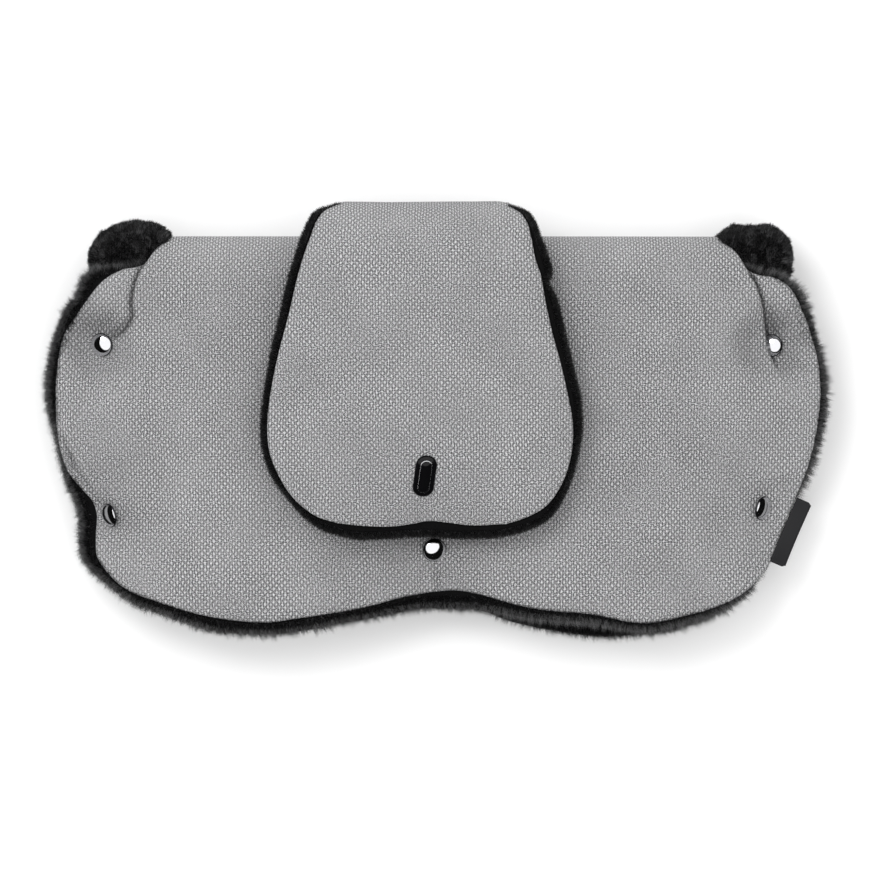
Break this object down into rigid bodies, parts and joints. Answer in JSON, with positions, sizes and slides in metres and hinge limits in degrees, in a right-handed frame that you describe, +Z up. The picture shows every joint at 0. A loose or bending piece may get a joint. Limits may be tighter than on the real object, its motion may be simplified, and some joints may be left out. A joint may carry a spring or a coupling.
{
  "type": "hand warmer muff",
  "caption": "Padded fur-lined hand warmer muff folded over a handlebar and closed with press snaps, with a magnetic flap over a phone pocket and a blank side label.",
  "frame": {"origin": "middle of the muff's base as it lies on its back half", "axes": "+X along the handlebar, +Y towards the folded edge, +Z up out of the front half"},
  "size_m": [0.498, 0.2581, 0.0772],
  "materials": {
    "outer_fabric": "coarse woven",
    "wadding": "matte",
    "fur": "plush pile",
    "snap_caps": "polished",
    "snap_works": "satin",
    "plated_steel": "plated",
    "badge": "gloss black",
    "label": "woven satin"
  },
  "bodies": {
    "back": {"back_cover": "outer_fabric", "back_wadding": "wadding", "back_lining": "fur", "fur_cuff_left": "fur", "fur_cuff_right": "fur", "snap_stud_upper_left": "snap_works", "snap_stud_upper_right": "snap_works", "snap_stud_lower_left": "snap_works", "snap_stud_lower_right": "snap_works", "snap_stud_centre": "snap_works", "snap_post_upper_left": "snap_works", "snap_post_upper_right": "snap_works", "snap_post_lower_left": "snap_works", "snap_post_lower_right": "snap_works", "snap_post_centre": "snap_works"},
    "front": {"front_cover": "outer_fabric", "front_wadding": "wadding", "front_lining": "fur", "front_magnet": "plated_steel", "pocket_panel": "outer_fabric", "side_label": "label", "snap_cap_upper_left": "snap_caps", "snap_cap_upper_right": "snap_caps", "snap_cap_lower_left": "snap_caps", "snap_cap_lower_right": "snap_caps", "snap_cap_centre": "snap_caps", "snap_socket_upper_left": "snap_works", "snap_socket_upper_right": "snap_works", "snap_socket_lower_left": "snap_works", "snap_socket_lower_right": "snap_works", "snap_socket_centre": "snap_works"},
    "flap": {"flap_cover": "outer_fabric", "flap_wadding": "wadding", "flap_lining": "fur", "flap_magnet": "plated_steel", "badge": "badge", "badge_backing": "plated_steel"}
  },
  "joints": [
    {"name": "front_fold", "type": "hinge", "parent": "back", "child": "front", "pos_m": [0, 0.1208, 0.0284], "axis": [-1, 0, 0], "range_deg": [0, 150]},
    {"name": "flap_lift", "type": "hinge", "parent": "front", "child": "flap", "pos_m": [0, 0.121, 0.0531], "axis": [-1, 0, 0], "range_deg": [0, 115]}
  ]
}
